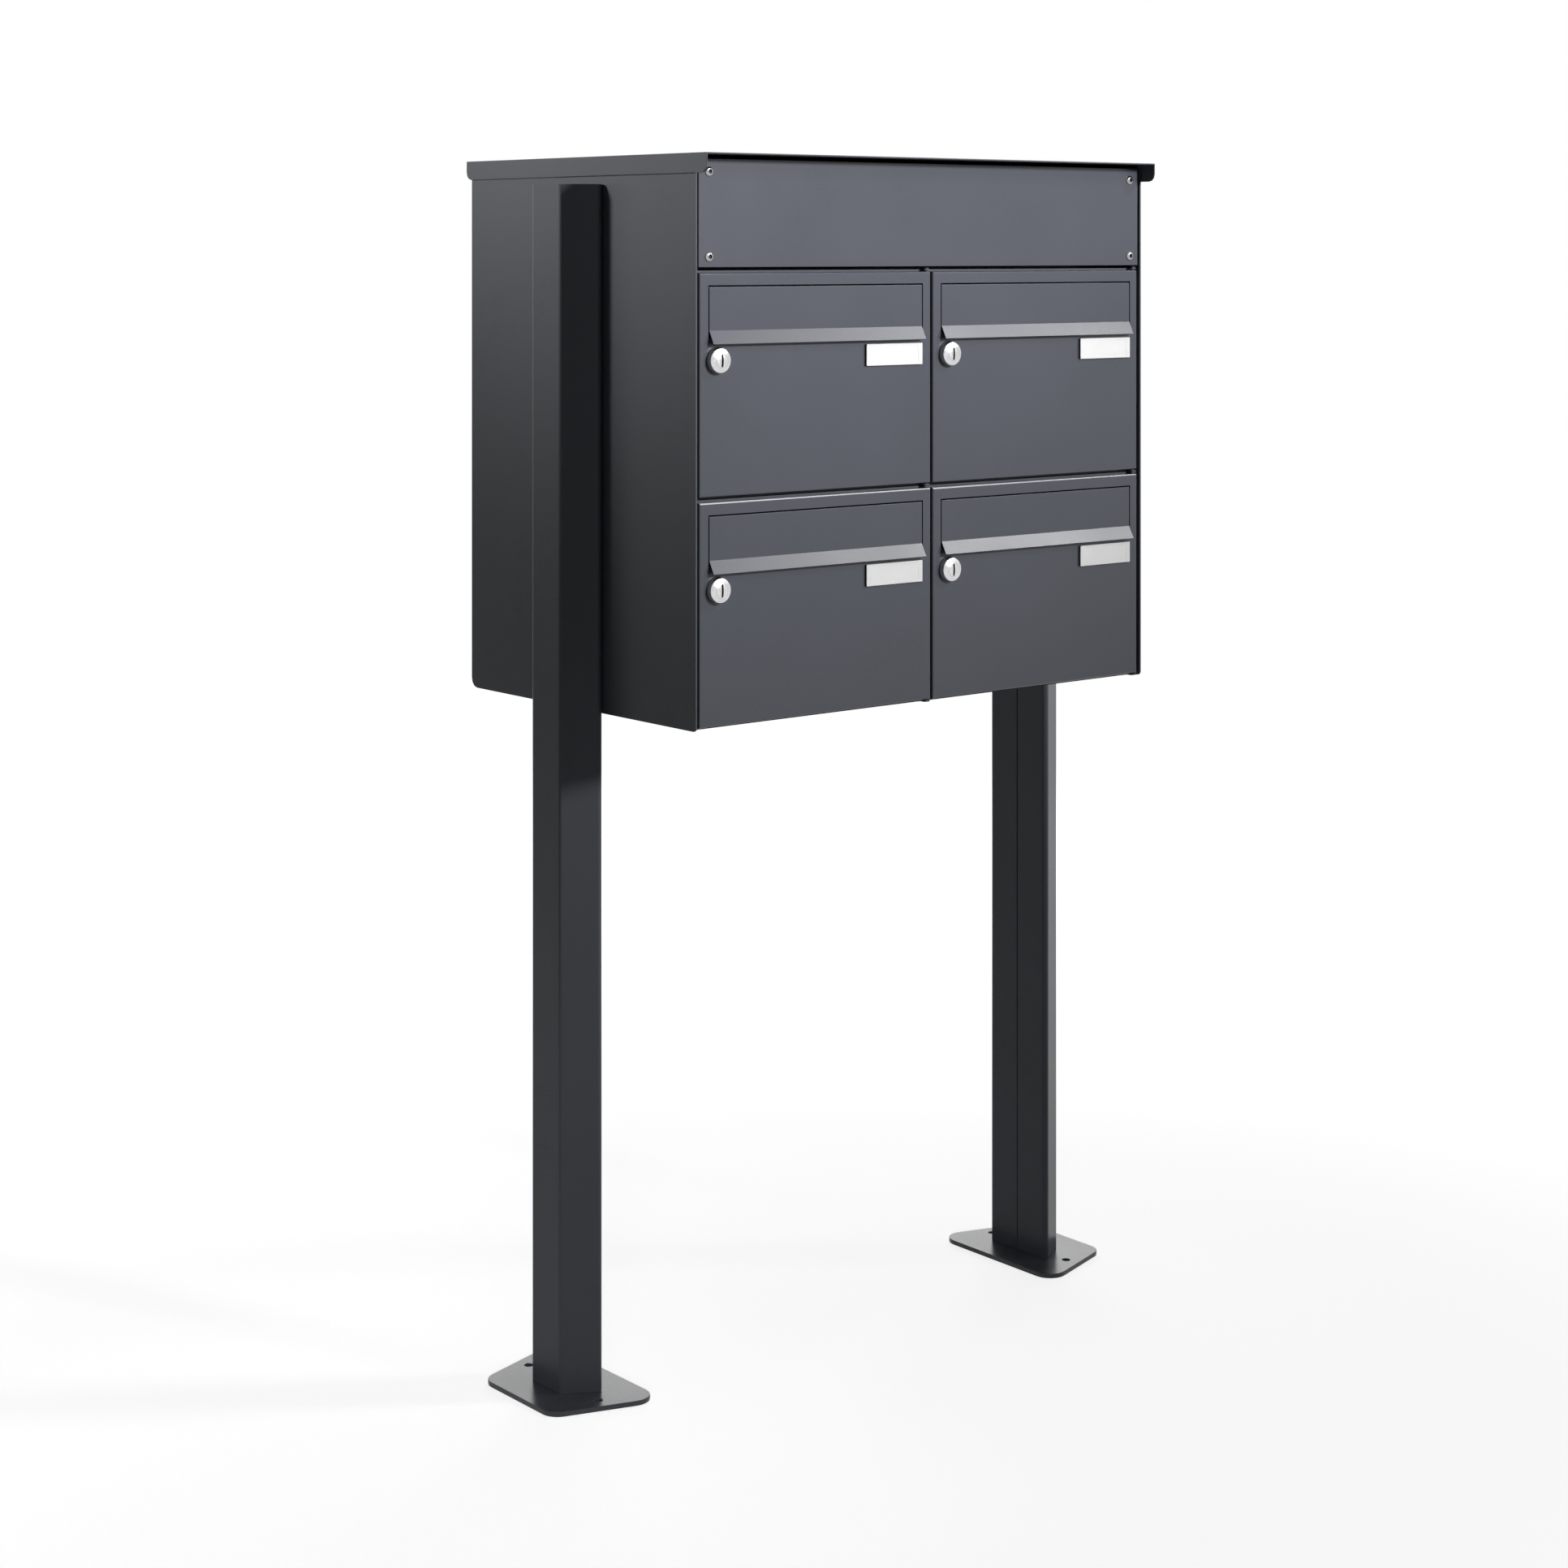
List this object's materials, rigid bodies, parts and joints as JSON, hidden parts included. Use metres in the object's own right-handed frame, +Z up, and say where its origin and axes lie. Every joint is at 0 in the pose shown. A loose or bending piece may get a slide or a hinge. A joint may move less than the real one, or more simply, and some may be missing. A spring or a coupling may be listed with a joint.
{
  "type": "cluster mailbox unit",
  "caption": "Free-standing cluster mailbox: letterboxes with hinged doors, letter flaps and cam locks in a clad cabinet under a header plate and roof, on trapezoid posts with base plates.",
  "frame": {"origin": "on the ground, in the middle of the unit's footprint box", "axes": "+Z up, +X to the right seen from the front, the doors face -Y"},
  "size_m": [0.7556, 0.4122, 1.2282],
  "materials": {
    "anthracite_coat": "anthracite powder coat, satin",
    "zinc_steel": "bright zinc",
    "bright_chrome": "polished",
    "clear_cover": "clear",
    "white_card": "white card, bare"
  },
  "bodies": {
    "cabinet": {"left_base_plate": "anthracite_coat", "left_post": "anthracite_coat", "left_side_panel": "anthracite_coat", "post_bolt_lower_left": "zinc_steel", "post_bolt_upper_left": "zinc_steel", "right_base_plate": "anthracite_coat", "right_post": "anthracite_coat", "right_side_panel": "anthracite_coat", "post_bolt_lower_right": "zinc_steel", "post_bolt_upper_right": "zinc_steel", "back_panel": "anthracite_coat", "roof_cover": "anthracite_coat", "header_plate": "anthracite_coat", "header_frame": "anthracite_coat", "header_screw_lower_left": "zinc_steel", "header_screw_lower_right": "zinc_steel", "header_screw_upper_left": "zinc_steel", "header_screw_upper_right": "zinc_steel", "letterbox_lower_left": "anthracite_coat", "letterbox_upper_left": "anthracite_coat", "hinge_pin_bottom_left": "zinc_steel", "hinge_pin_middle_left": "zinc_steel", "hinge_pin_top_left": "zinc_steel", "letterbox_lower_right": "anthracite_coat", "letterbox_upper_right": "anthracite_coat", "hinge_pin_bottom_right": "zinc_steel", "hinge_pin_middle_right": "zinc_steel", "hinge_pin_top_right": "zinc_steel"},
    "door_lower_left": {"door_lower_left": "anthracite_coat", "flap_pin_lower_left": "zinc_steel", "lock_body_lower_left": "bright_chrome", "name_cover_lower_left": "clear_cover", "name_card_lower_left": "white_card"},
    "flap_lower_left": {"letter_flap_lower_left": "anthracite_coat"},
    "lock_lower_left": {"lock_plug_lower_left": "bright_chrome", "lock_cam_lower_left": "zinc_steel"},
    "door_upper_left": {"door_upper_left": "anthracite_coat", "flap_pin_upper_left": "zinc_steel", "lock_body_upper_left": "bright_chrome", "name_cover_upper_left": "clear_cover", "name_card_upper_left": "white_card"},
    "flap_upper_left": {"letter_flap_upper_left": "anthracite_coat"},
    "lock_upper_left": {"lock_plug_upper_left": "bright_chrome", "lock_cam_upper_left": "zinc_steel"},
    "door_lower_right": {"door_lower_right": "anthracite_coat", "flap_pin_lower_right": "zinc_steel", "lock_body_lower_right": "bright_chrome", "name_cover_lower_right": "clear_cover", "name_card_lower_right": "white_card"},
    "flap_lower_right": {"letter_flap_lower_right": "anthracite_coat"},
    "lock_lower_right": {"lock_plug_lower_right": "bright_chrome", "lock_cam_lower_right": "zinc_steel"},
    "door_upper_right": {"door_upper_right": "anthracite_coat", "flap_pin_upper_right": "zinc_steel", "lock_body_upper_right": "bright_chrome", "name_cover_upper_right": "clear_cover", "name_card_upper_right": "white_card"},
    "flap_upper_right": {"letter_flap_upper_right": "anthracite_coat"},
    "lock_upper_right": {"lock_plug_upper_right": "bright_chrome", "lock_cam_upper_right": "zinc_steel"}
  },
  "joints": [
    {"name": "door_hinge_lower_left", "type": "hinge", "parent": "cabinet", "child": "door_lower_left", "pos_m": [-0.0048, -0.18255, 0.786], "axis": [0, 0, 1], "range_deg": [0, 90]},
    {"name": "flap_hinge_lower_left", "type": "hinge", "parent": "door_lower_left", "child": "flap_lower_left", "pos_m": [-0.15, -0.18305, 0.8751], "axis": [-1, 0, 0], "range_deg": [0, 80]},
    {"name": "lock_turn_lower_left", "type": "hinge", "parent": "door_lower_left", "child": "lock_lower_left", "pos_m": [-0.2771, -0.18595, 0.8094], "axis": [0, 1, 0], "range_deg": [0, 90]},
    {"name": "door_hinge_upper_left", "type": "hinge", "parent": "cabinet", "child": "door_upper_left", "pos_m": [-0.0048, -0.18255, 1.006], "axis": [0, 0, 1], "range_deg": [0, 90]},
    {"name": "flap_hinge_upper_left", "type": "hinge", "parent": "door_upper_left", "child": "flap_upper_left", "pos_m": [-0.15, -0.18305, 1.0951], "axis": [-1, 0, 0], "range_deg": [0, 80]},
    {"name": "lock_turn_upper_left", "type": "hinge", "parent": "door_upper_left", "child": "lock_upper_left", "pos_m": [-0.2771, -0.18595, 1.0294], "axis": [0, 1, 0], "range_deg": [0, 90]},
    {"name": "door_hinge_lower_right", "type": "hinge", "parent": "cabinet", "child": "door_lower_right", "pos_m": [0.2952, -0.18255, 0.786], "axis": [0, 0, 1], "range_deg": [0, 90]},
    {"name": "flap_hinge_lower_right", "type": "hinge", "parent": "door_lower_right", "child": "flap_lower_right", "pos_m": [0.15, -0.18305, 0.8751], "axis": [-1, 0, 0], "range_deg": [0, 80]},
    {"name": "lock_turn_lower_right", "type": "hinge", "parent": "door_lower_right", "child": "lock_lower_right", "pos_m": [0.0229, -0.18595, 0.8094], "axis": [0, 1, 0], "range_deg": [0, 90]},
    {"name": "door_hinge_upper_right", "type": "hinge", "parent": "cabinet", "child": "door_upper_right", "pos_m": [0.2952, -0.18255, 1.006], "axis": [0, 0, 1], "range_deg": [0, 90]},
    {"name": "flap_hinge_upper_right", "type": "hinge", "parent": "door_upper_right", "child": "flap_upper_right", "pos_m": [0.15, -0.18305, 1.0951], "axis": [-1, 0, 0], "range_deg": [0, 80]},
    {"name": "lock_turn_upper_right", "type": "hinge", "parent": "door_upper_right", "child": "lock_upper_right", "pos_m": [0.0229, -0.18595, 1.0294], "axis": [0, 1, 0], "range_deg": [0, 90]}
  ]
}
